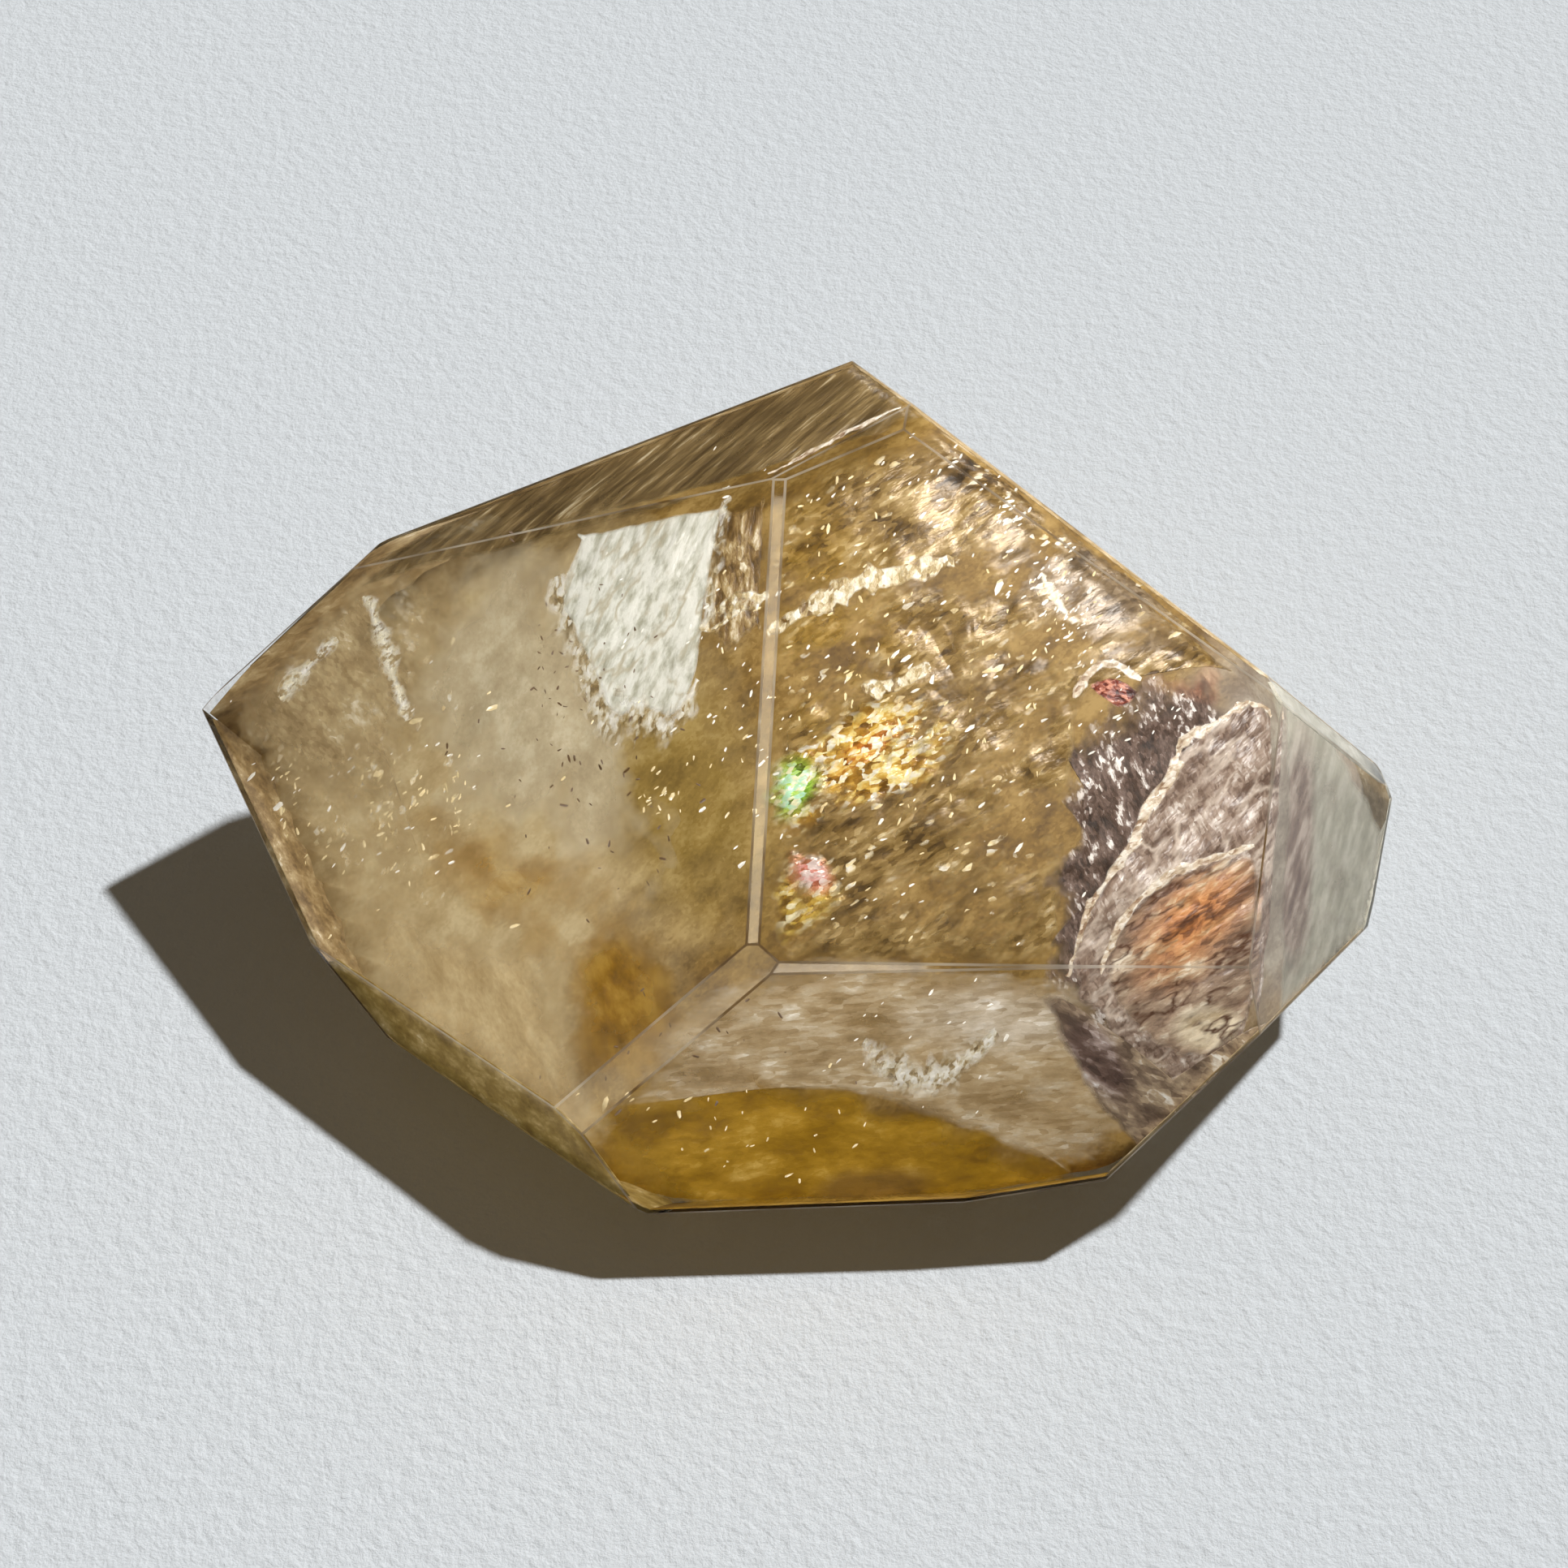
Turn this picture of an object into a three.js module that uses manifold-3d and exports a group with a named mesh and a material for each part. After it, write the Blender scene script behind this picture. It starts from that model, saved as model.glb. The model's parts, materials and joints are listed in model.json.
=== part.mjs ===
// Citrine freeform: one piece of clear honey-coloured quartz, ground and polished to flat facets.
// Units are millimetres and degrees. +Z is up, the longest way of the stone runs along X, and the
// front facet looks towards -Y. The origin lies on the resting face, under the middle of the stone's box.

import * as THREE from 'three';
import { mergeVertices } from 'three/addons/utils/BufferGeometryUtils.js';
import Module from 'manifold-3d';

// The sawn block that the facets are ground from. Its bottom stays as the face the stone rests on,
// and it is large enough for every other sawn face to be ground away.
const BLOCK = { length: 80, depth: 60, height: 40 };

// Edge length of the box that stands for the grinding wheel's flat side.
const WHEEL = 160;

// The cutting plan. heading: the way a facet looks, anticlockwise from +X seen from above.
// tilt: how far its outward normal leans from straight up, so over 90 is an underside.
// depth: distance of its plane from the point of the resting face that the plan is measured from.
const FACETS = {
  // faces seen from above
  leftTable: { heading: -130.5, tilt: 29, depth: 15.15 },
  rightTable: { heading: -87, tilt: 24, depth: 15.55 },
  front: { heading: -88.5, tilt: 46.5, depth: 16.55 },
  rightEnd: { heading: -26, tilt: 57, depth: 26.65 },
  leftSide: { heading: -127.5, tilt: 80.5, depth: 20.15 },
  backSlope: { heading: 137.5, tilt: 25, depth: 22.25 },
  crownLedge: { heading: -153.5, tilt: 8.5, depth: 20.45 },
  backRightBevel: { heading: -27, tilt: 15, depth: 21.4 },
  endBevel: { heading: 15, tilt: 52, depth: 28.05 },
  // the sliver between right table and front, which narrows to nothing towards the right end
  frontSliver: { heading: -88.5, tilt: 41, depth: 16.5 },
  // walls round the stone
  backLeftWall: { heading: 143, tilt: 56.5, depth: 27.15 },
  backWall: { heading: 107, tilt: 85, depth: 18.7 },
  backRightWall: { heading: 44, tilt: 57.5, depth: 23.75 },
  endCorner: { heading: 13.5, tilt: 72, depth: 30.45 },
  endWall: { heading: -10.5, tilt: 99.5, depth: 27.9 },
  frontRightWall: { heading: -44.5, tilt: 107, depth: 21.55 },
  // undersides that run down to the resting face
  leftUnderside: { heading: -162, tilt: 127.5, depth: 15.25 },
  frontLeftUnderside: { heading: -126, tilt: 130.5, depth: 13 },
  frontUnderside: { heading: -87.5, tilt: 128, depth: 13.45 },
  frontRightUnderside: { heading: -79, tilt: 125, depth: 14.95 },
  backLeftUnderside: { heading: 114.5, tilt: 118, depth: 10.65 },
  backUnderside: { heading: 100, tilt: 124, depth: 11.5 },
  backRightUnderside: { heading: 56, tilt: 112, depth: 14 },
  endUnderside: { heading: -8, tilt: 124, depth: 21 },
};

// Narrow flats that take the sharp ridge between two facets off. cut: how far below the ridge
// the flat lies.
const RIDGE_FLATS = [
  { between: ['leftTable', 'rightTable'], cut: 0.05 },
  { between: ['leftTable', 'front'], cut: 0.24 },
];

const CITRINE = new THREE.MeshStandardMaterial({
  color: new THREE.Color().setRGB(0.7, 0.5, 0.24, THREE.SRGBColorSpace),
  roughness: 0.04,
  metalness: 0,
  transparent: true,
  opacity: 0.6,
});

const wasm = await Module();
wasm.setup();

// A closed three.js geometry as a solid that can be joined and cut.
function solidOf(geometry) {
  const bare = geometry.clone();
  bare.deleteAttribute('normal');
  bare.deleteAttribute('uv');
  const merged = mergeVertices(bare);
  const vertProperties = new Float32Array(merged.attributes.position.array);
  const triVerts = new Uint32Array(merged.index.array);
  return new wasm.Manifold(new wasm.Mesh({ numProp: 3, vertProperties, triVerts }));
}

// A solid back as a three.js geometry.
function geometryOf(solid) {
  const mesh = solid.getMesh();
  const geometry = new THREE.BufferGeometry();
  geometry.setAttribute('position', new THREE.BufferAttribute(mesh.vertProperties, mesh.numProp));
  geometry.setIndex(new THREE.BufferAttribute(mesh.triVerts, 1));
  return geometry;
}

// The plane of a facet in the cutting plan: normal . point = constant depth.
function facetPlane({ heading, tilt, depth }) {
  const lean = THREE.MathUtils.degToRad(tilt);
  const turn = THREE.MathUtils.degToRad(heading);
  const sideways = Math.sin(lean);
  const normal = new THREE.Vector3(sideways * Math.cos(turn), sideways * Math.sin(turn), Math.cos(lean));
  return { normal, depth };
}

// The plane that flattens the ridge between two facets: it halves the angle between them and lies
// `cut` below the ridge, whose nearest point to the plan's own point is solved in their two normals.
function ridgePlane({ between, cut }) {
  const [a, b] = between.map((name) => facetPlane(FACETS[name]));
  const spread = a.normal.dot(b.normal);
  const shareOfA = (a.depth - spread * b.depth) / (1 - spread * spread);
  const shareOfB = (b.depth - spread * a.depth) / (1 - spread * spread);
  const onRidge = new THREE.Vector3();
  onRidge.addScaledVector(a.normal, shareOfA).addScaledVector(b.normal, shareOfB);
  const normal = a.normal.clone().add(b.normal).normalize();
  return { normal, depth: onRidge.dot(normal) - cut };
}

// Everything beyond a plane, as one big box that stands on it.
function beyond({ normal, depth }) {
  const up = new THREE.Vector3(0, 0, 1);
  const box = new THREE.BoxGeometry(WHEEL, WHEEL, WHEEL).translate(0, 0, WHEEL / 2);
  box.applyQuaternion(new THREE.Quaternion().setFromUnitVectors(up, normal));
  box.translate(normal.x * depth, normal.y * depth, normal.z * depth);
  return solidOf(box);
}

// The block with every facet and ridge flat ground on it, moved so that the origin is under the
// middle of its box.
function polishedStone() {
  const block = new THREE.BoxGeometry(BLOCK.length, BLOCK.depth, BLOCK.height);
  const planes = [...Object.values(FACETS).map(facetPlane), ...RIDGE_FLATS.map(ridgePlane)];
  const rough = solidOf(block.translate(0, 0, BLOCK.height / 2));
  const stone = geometryOf(planes.reduce((solid, plane) => solid.subtract(beyond(plane)), rough));
  stone.computeBoundingBox();
  const middle = stone.boundingBox.getCenter(new THREE.Vector3());
  stone.translate(-middle.x, -middle.y, -stone.boundingBox.min.z);
  stone.computeVertexNormals();
  return stone;
}

const crystal = new THREE.Mesh(polishedStone(), CITRINE);
crystal.name = 'citrine_crystal';

const citrineFreeform = new THREE.Group();
citrineFreeform.add(crystal);

export default citrineFreeform;
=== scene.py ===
import bpy
import bmesh
import json
import math
import numpy as np
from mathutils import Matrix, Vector

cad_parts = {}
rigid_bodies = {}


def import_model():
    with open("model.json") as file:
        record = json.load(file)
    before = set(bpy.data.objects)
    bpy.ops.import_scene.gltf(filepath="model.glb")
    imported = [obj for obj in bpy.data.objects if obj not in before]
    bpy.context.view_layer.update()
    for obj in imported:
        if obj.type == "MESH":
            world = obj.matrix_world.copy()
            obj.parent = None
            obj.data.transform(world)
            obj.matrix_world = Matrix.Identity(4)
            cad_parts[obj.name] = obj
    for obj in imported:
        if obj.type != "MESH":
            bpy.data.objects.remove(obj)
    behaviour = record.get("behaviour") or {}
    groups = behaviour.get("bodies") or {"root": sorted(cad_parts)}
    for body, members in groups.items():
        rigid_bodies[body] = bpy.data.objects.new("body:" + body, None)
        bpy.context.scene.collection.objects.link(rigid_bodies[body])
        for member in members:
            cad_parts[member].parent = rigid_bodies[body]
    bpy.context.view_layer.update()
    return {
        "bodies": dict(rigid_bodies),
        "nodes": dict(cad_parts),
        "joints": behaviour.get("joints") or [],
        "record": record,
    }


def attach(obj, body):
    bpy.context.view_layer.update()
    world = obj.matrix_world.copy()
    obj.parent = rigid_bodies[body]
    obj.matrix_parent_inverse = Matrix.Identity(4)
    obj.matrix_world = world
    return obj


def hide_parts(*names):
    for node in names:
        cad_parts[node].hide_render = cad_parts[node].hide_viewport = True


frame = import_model()
mm = 0.001
crystalNode = "citrine_crystal"


# A colour given as 0 to 255 screen values, made linear: ((c / 255 + 0.055) / 1.055) ** 2.4, and opaque.
def tone(colour):
    return (*[((channel / 255 + 0.055) / 1.055) ** 2.4 for channel in colour], 1.0)


# A value in a material. Sums, differences, products and quotients of it add Math nodes to its tree.
class Value:
    def __init__(self, paint, socket):
        self.paint = paint
        self.socket = socket

    def maths(self, operation, first, second=0.0):
        return self.paint.node("ShaderNodeMath", {"operation": operation}, {0: first, 1: second})

    def __add__(self, other):
        return self.maths("ADD", self, other)

    def __radd__(self, other):
        return self.maths("ADD", other, self)

    def __sub__(self, other):
        return self.maths("SUBTRACT", self, other)

    def __rsub__(self, other):
        return self.maths("SUBTRACT", other, self)

    def __mul__(self, other):
        return self.maths("MULTIPLY", self, other)

    def __rmul__(self, other):
        return self.maths("MULTIPLY", other, self)

    def __truediv__(self, other):
        return self.maths("DIVIDE", self, other)

    def size(self):
        return self.maths("ABSOLUTE", self)

    def clipped(self):
        return self.paint.node("ShaderNodeClamp", {}, {"Value": self})

    # 0 up to `least`, then rising `sharpness` for each 1 of the value, and 1 from there on.
    def above(self, least, sharpness):
        return ((self - least) * sharpness).clipped()

    def ramp(self, stops):
        return self.paint.node("ShaderNodeValToRGB", {"stops": stops}, {"Fac": self})


# One material with its node tree.
class Paint:
    def __init__(self, name):
        self.material = bpy.data.materials.new(name)
        self.material.use_nodes = True
        self.tree = self.material.node_tree
        self.tree.nodes.clear()
        self.place = self.node("ShaderNodeTexCoord", {}, {}, "Object")

    # Adds a node: its settings first, then a value or a link for each socket named.
    def node(self, kind, settings, sockets, output=0):
        added = self.tree.nodes.new(kind)
        for key, setting in settings.items():
            if key == "stops":
                self.setStops(added.color_ramp, setting)
            else:
                setattr(added, key, setting)
        for key, value in sockets.items():
            if isinstance(value, Value):
                self.tree.links.new(value.socket, added.inputs[key])
            else:
                added.inputs[key].default_value = value
        return None if output is None else Value(self, added.outputs[output])

    # Stops are rows of a position from 0 to 1, red, green and blue.
    def setStops(self, ramp, stops):
        while len(ramp.elements) < len(stops):
            ramp.elements.new(1.0)
        for element, (position, *colour) in zip(ramp.elements, stops):
            element.position = position
            element.color = tone(colour)

    # The place on the piece, from `centre` in mm, along axes turned to a heading, in units of `size` mm.
    def frame(self, centre, heading, size):
        return self.node("ShaderNodeMapping", {"vector_type": "TEXTURE"}, {
            "Vector": self.place, "Location": tuple(part * mm for part in centre),
            "Rotation": (0, 0, math.radians(heading)), "Scale": tuple(part * mm for part in size)})

    # Noise from 0 to 1 with lumps `size` mm across, drawn out `stretch` times along a heading.
    def cloud(self, size, stretch=1.0, heading=0.0, detail=3.0, rough=0.6, shift=0.0):
        place = self.frame((shift, shift, shift), heading, (size * stretch, size, size))
        return self.node("ShaderNodeTexNoise", {"noise_type": "FBM"}, {
            "Vector": place, "Scale": 1.0, "Detail": detail, "Roughness": rough})

    # Small flat cells like crumpled foil, each of one random tone from 0 to 1, their borders warped.
    def cells(self, size, stretch=1.0, heading=0.0, warp=0.4):
        frame = self.frame((0, 0, 0), heading, (size * stretch, size, size))
        wander = self.node("ShaderNodeTexNoise", {}, {"Vector": frame, "Scale": 1.5, "Detail": 2.0}, 1)
        warped = self.node("ShaderNodeVectorMath", {"operation": "MULTIPLY_ADD"}, {
            0: wander, 1: (warp,) * 3, 2: frame})
        return self.node("ShaderNodeTexVoronoi", {"feature": "F1"}, {"Vector": warped, "Scale": 1.0}, 1)

    # Thin curly lines: 1 where noise crosses its middle value, falling to 0 on both sides.
    def curls(self, size, stretch, heading, sharpness):
        noise = self.cloud(size, stretch, heading, 3.0, 0.5, size)
        return (1 - ((noise - 0.5) * sharpness).size()).clipped()

    # A spot: 1 in its middle, 0 outside, its edge `soft` of its radius wide and wavering.
    def spot(self, x, y, radiusX, radiusY, heading, soft, waver=0.6):
        endless = 1000
        frame = self.frame((x, y, 0), heading, (radiusX, radiusY, endless))
        away = self.node("ShaderNodeVectorMath", {"operation": "LENGTH"}, {0: frame}, 1)
        return ((1 - away + (self.cloud(3.0, rough=0.55, shift=x) - 0.5) * waver) / soft).clipped()

    def mix(self, factor, first, second):
        return self.node("ShaderNodeMix", {"data_type": "RGBA"}, {0: factor, 6: first, 7: second}, 2)

    def finish(self, sockets, volume=None):
        shader = self.node("ShaderNodeBsdfPrincipled", {}, sockets)
        ends = {"Surface": shader, "Volume": volume} if volume else {"Surface": shader}
        self.node("ShaderNodeOutputMaterial", {}, ends, None)
        return self.material


viewSettings = {
    "pitch": 55.0,  # degrees below level
    "distance": 142.8 * mm,
    "aim": (-0.5 * mm, -0.3 * mm, 10.0 * mm),
    "fieldOfView": 30.0,
    "nearest": 1 * mm,
}

floorSettings = {
    "size": 2.0,  # m
    "gap": 0.05 * mm,  # air under the resting face
    "colour": (220, 226, 231),
    "grain": 0.8,  # mm across one lump of the paper
    "relief": 0.25 * mm,
}

sunSettings = {
    "travel": (-1.305, -1.050, -1.956),
    "spread": 2.5,  # degrees
    "strength": 3.7,
}

domeSettings = {
    "strength": 0.1,
    "colour": (1.0, 0.82, 0.60),
}

innerWhite = (1.0, 0.97, 0.945)
# Each lamp's way off, distance and size in mm, power, colour, and the one collection it lights. The
# inner lamp stands where the sun does once the crystal has bent its light, each panel gleams in one
# narrow flat, and the glow is the honey light that the crystal lets through.
lamps = {
    "glowLamp": ((0, 0, 1), 12, 30, 0.0028, (1.0, 0.56, 0.1), "ground"),
    "innerLamp": ((0.34, 0.065, 0.94), 85, 18, 0.058, innerWhite, "insideCrystal"),
    "fillLamp": ((-0.62, -0.70, 0.35), 85, 18, 0.0123, innerWhite, "insideCrystal"),
    "backLamp": ((0.5, 0.8, 0.35), 85, 18, 0.0205, innerWhite, "insideCrystal"),
    "leftFlatPanel": ((-0.303, -0.546, 0.781), 600, 230, 0.22, (1.0, 0.86, 0.62), "crystalSkin"),
    "edgePanel": ((-0.80, -0.37, 0.45), 600, 200, 0.4, (1.0, 0.98, 0.94), "crystalSkin"),
    "sliverPanel": ((0.034, -0.731, 0.683), 600, 100, 0.12, (1.0, 0.93, 0.80), "crystalSkin"),
    "ridgePanel": ((-0.289, -0.188, 0.938), 600, 140, 0.25, (1.0, 0.90, 0.72), "crystalSkin"),
}

bounceLimits = {
    "max_bounces": 12, "transmission_bounces": 12, "diffuse_bounces": 1, "glossy_bounces": 2,
    "transparent_max_bounces": 32,
}


# The camera stands `distance` back from what it aims at and looks down by `pitch`.
def addCamera(settings):
    pitch = math.radians(settings["pitch"])
    forward = np.array([0.0, math.cos(pitch), -math.sin(pitch)])
    camera = bpy.data.objects.new("camera", bpy.data.cameras.new("camera"))
    camera.location = np.array(settings["aim"]) - forward * settings["distance"]
    camera.rotation_euler = (math.pi / 2 - pitch, 0, 0)
    camera.data.angle = math.radians(settings["fieldOfView"])
    camera.data.clip_start = settings["nearest"]
    scene.collection.objects.link(camera)
    scene.camera = camera


# A wide sheet of grainy paper just under the resting face.
def addFloor(settings):
    half = settings["size"] / 2
    level = -settings["gap"]
    mesh = bpy.data.meshes.new("floor")
    corners = [(-half, -half, level), (half, -half, level), (half, half, level), (-half, half, level)]
    mesh.from_pydata(corners, [], [(0, 1, 2, 3)])
    floor = bpy.data.objects.new("floor", mesh)
    collections["ground"].objects.link(floor)
    paint = Paint("paperFloor")
    bump = paint.node("ShaderNodeBump", {}, {
        "Height": paint.cloud(settings["grain"], detail=6.0, rough=0.7), "Strength": 0.8,
        "Distance": settings["relief"]})
    mesh.materials.append(paint.finish({
        "Base Color": tone(settings["colour"]), "Roughness": 0.9, "Specular IOR Level": 0.2,
        "Normal": bump}))


# The sun throws the one sharp shadow. It isn't seen in or through the crystal.
def addSun(settings):
    sun = bpy.data.objects.new("sun", bpy.data.lights.new("sun", "SUN"))
    sun.rotation_euler = Vector(settings["travel"]).to_track_quat("-Z", "Y").to_euler()
    sun.data.energy = settings["strength"]
    sun.data.angle = math.radians(settings["spread"])
    sun.visible_transmission = False
    sun.visible_glossy = False
    scene.collection.objects.link(sun)


# A round lamp that shines back at the origin, without shadows, since the clear skin would block it.
def addLamp(name, way, away, size, power, colour, lights):
    lamp = bpy.data.objects.new(name, bpy.data.lights.new(name, "AREA"))
    lamp.location = Vector(way).normalized() * away * mm
    lamp.rotation_euler = (-Vector(way)).to_track_quat("-Z", "Y").to_euler()
    lamp.data.shape = "DISK"
    lamp.data.size = size * mm
    lamp.data.energy = power
    lamp.data.color = colour
    lamp.data.use_shadow = False
    lamp.visible_camera = False
    lamp.light_linking.receiver_collection = collections[lights]
    scene.collection.objects.link(lamp)


def addDome(settings):
    world = bpy.data.worlds.new("dome")
    world.use_nodes = True
    background = world.node_tree.nodes["Background"]
    background.inputs["Color"].default_value = (*settings["colour"], 1)
    background.inputs["Strength"].default_value = settings["strength"]
    scene.world = world


scene = bpy.context.scene
collections = {name: bpy.data.collections.new(name) for name in ("ground", "insideCrystal", "crystalSkin")}
for collection in collections.values():
    scene.collection.children.link(collection)
addCamera(viewSettings)
addFloor(floorSettings)
addSun(sunSettings)
addDome(domeSettings)
for name, lamp in lamps.items():
    addLamp(name, *lamp)
for limit, count in bounceLimits.items():
    setattr(scene.cycles, limit, count)
scene.view_settings.view_transform = "Standard"
print("camera, floor and lights placed")

crystalSettings = {
    "weld": 0.001 * mm,
    "flatWithin": 0.5,  # degrees; triangles that turn less become one facet
    "edgeWidth": 0.14 * mm,
    "edgeSegments": 2,
    "edgeOver": 3,  # degrees; only edges that turn more are rounded
    "refraction": 1.544,
    "roughness": 0.02,
    "absorptionColour": (0.90, 0.82, 0.60),
    "absorptionDensity": 45.0,
    # The pale edge colour paints the highlight that the rounded edges catch.
    "edgeHighlightColour": (250, 246, 236),
    "edgeRoughness": 0.35,
    "edgeShade": (110, 86, 50),
    "edgeStretch": 5.0,  # mm; brown stretches and the painted highlight follow each other along the edges
    "edgeClearness": 0.72,  # the rest of a polished edge is a pale frosting, a painted highlight
}


# Every piece rides the one body; `home` says which lamps light it.
def addPiece(piece, home):
    collections[home].objects.link(piece)
    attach(piece, "root")
    return piece


# The solid's loose triangles merged into flat facets, with narrow rounded edges.
def addCrystal(settings):
    shape = bmesh.new()
    shape.from_mesh(frame["nodes"][crystalNode].data)
    bmesh.ops.remove_doubles(shape, verts=shape.verts, dist=settings["weld"])
    flat = math.radians(settings["flatWithin"])
    bmesh.ops.dissolve_limit(shape, angle_limit=flat, verts=shape.verts, edges=shape.edges)
    mesh = bpy.data.meshes.new("crystalBody")
    shape.to_mesh(mesh)
    shape.free()
    body = addPiece(bpy.data.objects.new("crystalBody", mesh), "crystalSkin")
    bevel = body.modifiers.new("polishedEdges", "BEVEL")
    bevel.width = settings["edgeWidth"]
    bevel.segments = settings["edgeSegments"]
    bevel.limit_method = "ANGLE"
    bevel.angle_limit = math.radians(settings["edgeOver"])
    mesh.materials.append(clearCitrine(settings))
    mesh.materials.append(paintedEdgeHighlight(settings))
    bevel.material = 1  # the edge with its painted highlight
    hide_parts(crystalNode)
    return body


# Clear quartz whose honey tint deepens with the way that light goes through it.
def clearCitrine(settings):
    paint = Paint("clearCitrine")
    tint = paint.node("ShaderNodeVolumeAbsorption", {}, {
        "Color": (*settings["absorptionColour"], 1), "Density": settings["absorptionDensity"]})
    return paint.finish({
        "Base Color": (1, 1, 1, 1), "Roughness": settings["roughness"],
        "IOR": settings["refraction"], "Transmission Weight": 1.0}, tint)


# The polished edge, mostly clear; its pale frosting is a painted highlight along the edges, broken by brown
# stretches.
def paintedEdgeHighlight(settings):
    paint = Paint("paintedEdgeHighlight")
    shade = paint.cloud(settings["edgeStretch"], rough=0.55).ramp([
        (0.36, *settings["edgeShade"]), (0.62, *settings["edgeHighlightColour"])])
    return paint.finish({
        "Base Color": shade, "Roughness": settings["edgeRoughness"], "IOR": settings["refraction"],
        "Transmission Weight": settings["edgeClearness"]})


crystal = addCrystal(crystalSettings)
# Each facet as a row nx, ny, nz, level: its normal, and the distance in mm of its plane from the origin.
facets = np.array([(*face.normal, face.normal.dot(face.center) / mm) for face in crystal.data.polygons])
print("crystal body placed:", len(facets), "facets")

sheetThickness = 0.04  # mm
skinRoom = 0.15  # mm of clear quartz over what lies in the crystal
bandPoints = 9  # across a band


# Lowest of several heights, blended over `blend` mm: lowest - blend log(sum exp((lowest - height) / blend)).
def softLowest(heights, blend=0.5):
    lowest = np.min(heights, axis=0)
    return lowest - blend * np.log(sum(np.exp((lowest - height) / blend) for height in heights))


# Height in mm of the crown over (x, y): the lowest (level - nx x - ny y) / nz of the upper facets.
def crown(x, y):
    upper = facets[facets[:, 2] > 0.3]
    return softLowest([(level - nx * x - ny * y) / nz for nx, ny, nz, level in upper])


# How far in mm each point stands out of the crystal: its largest normal . point - level.
def standsOut(points):
    return np.max(points @ facets[:, :3].T - facets[:, 3], axis=-1)


# Smooth noise from -1 to 1: random values on a lattice of unit squares, blended by 3 t^2 - 2 t^3.
def lattice(x, y, seed):
    table = np.random.default_rng(seed).uniform(-1, 1, (256, 256))
    i = np.floor(x).astype(int)
    j = np.floor(y).astype(int)
    u = (x - i) ** 2 * (3 - 2 * (x - i))
    v = (y - j) ** 2 * (3 - 2 * (y - j))
    i = i % 255
    j = j % 255
    low = table[i, j] * (1 - u) + table[i + 1, j] * u
    high = table[i, j + 1] * (1 - u) + table[i + 1, j + 1] * u
    return low * (1 - v) + high * v


# Relief in mm: for each wave, two octaves of noise with lumps `size` mm across, drawn out along its
# heading; a crease makes sharp valleys. What is added to a place only picks other lattice squares.
def relief(x, y, waves, seed):
    total = np.zeros_like(x)
    for number, (size, height, stretch, heading, *crease) in enumerate(waves):
        turn = math.radians(heading)
        along = (x * math.cos(turn) + y * math.sin(turn)) / (size * stretch)
        across = (y * math.cos(turn) - x * math.sin(turn)) / size
        wave = lattice(along + 37.3, across + 51.7, seed + number)
        wave = wave + 0.5 * lattice(along * 2.1 + 11.9, across * 2.1 + 5.3, seed + number + 50)
        total += height * (np.abs(wave) - 0.4 if crease else wave)
    return total


# A smooth curve through the points (Catmull-Rom), sampled at `count` even steps; closed or open.
def curveThrough(points, count, closed):
    points = np.array(points, float)
    last = len(points) if closed else len(points) - 1
    place = np.linspace(0, last, count, endpoint=not closed)
    k = np.minimum(place.astype(int), last - 1)
    t = (place - k)[:, None]
    places = [k + shift for shift in (-1, 0, 1, 2)]
    a, b, c, d = (points[i % len(points) if closed else np.clip(i, 0, last)] for i in places)
    return b + t * (c - a) / 2 + t**2 * (a - 2.5 * b + 2 * c - d / 2) + t**3 * (1.5 * (b - c) + (d - a) / 2)


# A mesh piece over a grid of points in mm, rows by columns, round where `closed`. One pole draws its first
# row into one point, two poles the last row too. A thickness lies half on each side of the grid.
def gridPiece(name, points, rim, closed, poles, material, thickness=sheetThickness):
    rows, columns = points.shape[:2]
    index = np.arange(rows * columns).reshape(rows, columns)
    if poles > 0:
        index[0] = index[0, 0]
    if poles > 1:
        index[-1] = index[-1, 0]
    if closed:
        index = np.concatenate([index, index[:, :1]], axis=1)
    quads = np.stack([index[:-1, :-1], index[:-1, 1:], index[1:, 1:], index[1:, :-1]], axis=-1)
    used, quads = np.unique(quads, return_inverse=True)
    faces = [tuple(dict.fromkeys(quad)) for quad in quads.reshape(-1, 4).tolist()]
    mesh = bpy.data.meshes.new(name)
    mesh.from_pydata((points.reshape(-1, 3)[used] * mm).tolist(), [], faces)
    values = np.ascontiguousarray(rim.reshape(-1)[used], dtype=np.float32)
    mesh.attributes.new("rim", "FLOAT", "POINT").data.foreach_set("value", values)
    mesh.polygons.foreach_set("use_smooth", np.ones(len(faces), bool))
    mesh.materials.append(material)
    mesh.update()
    piece = addPiece(bpy.data.objects.new(name, mesh), "insideCrystal")
    piece.visible_shadow = not thickness  # thin sheets let the light by
    if thickness:
        shell = piece.modifiers.new("thickness", "SOLIDIFY")
        shell.thickness = thickness * mm
        shell.offset = 0


# Length in mm of the smooth curve through the points, summed over `count` steps.
def curveLength(points, count, closed):
    line = curveThrough(points, count, closed)
    if closed:
        line = np.concatenate([line, line[:1]])
    return np.linalg.norm(np.diff(line, axis=0), axis=1).sum()


# Noise round a loop, without a seam: the lattice's values on a circle.
def loopNoise(turn, middle, radius, seed):
    return lattice(middle + radius * np.cos(turn), middle + radius * np.sin(turn), seed)


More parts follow.
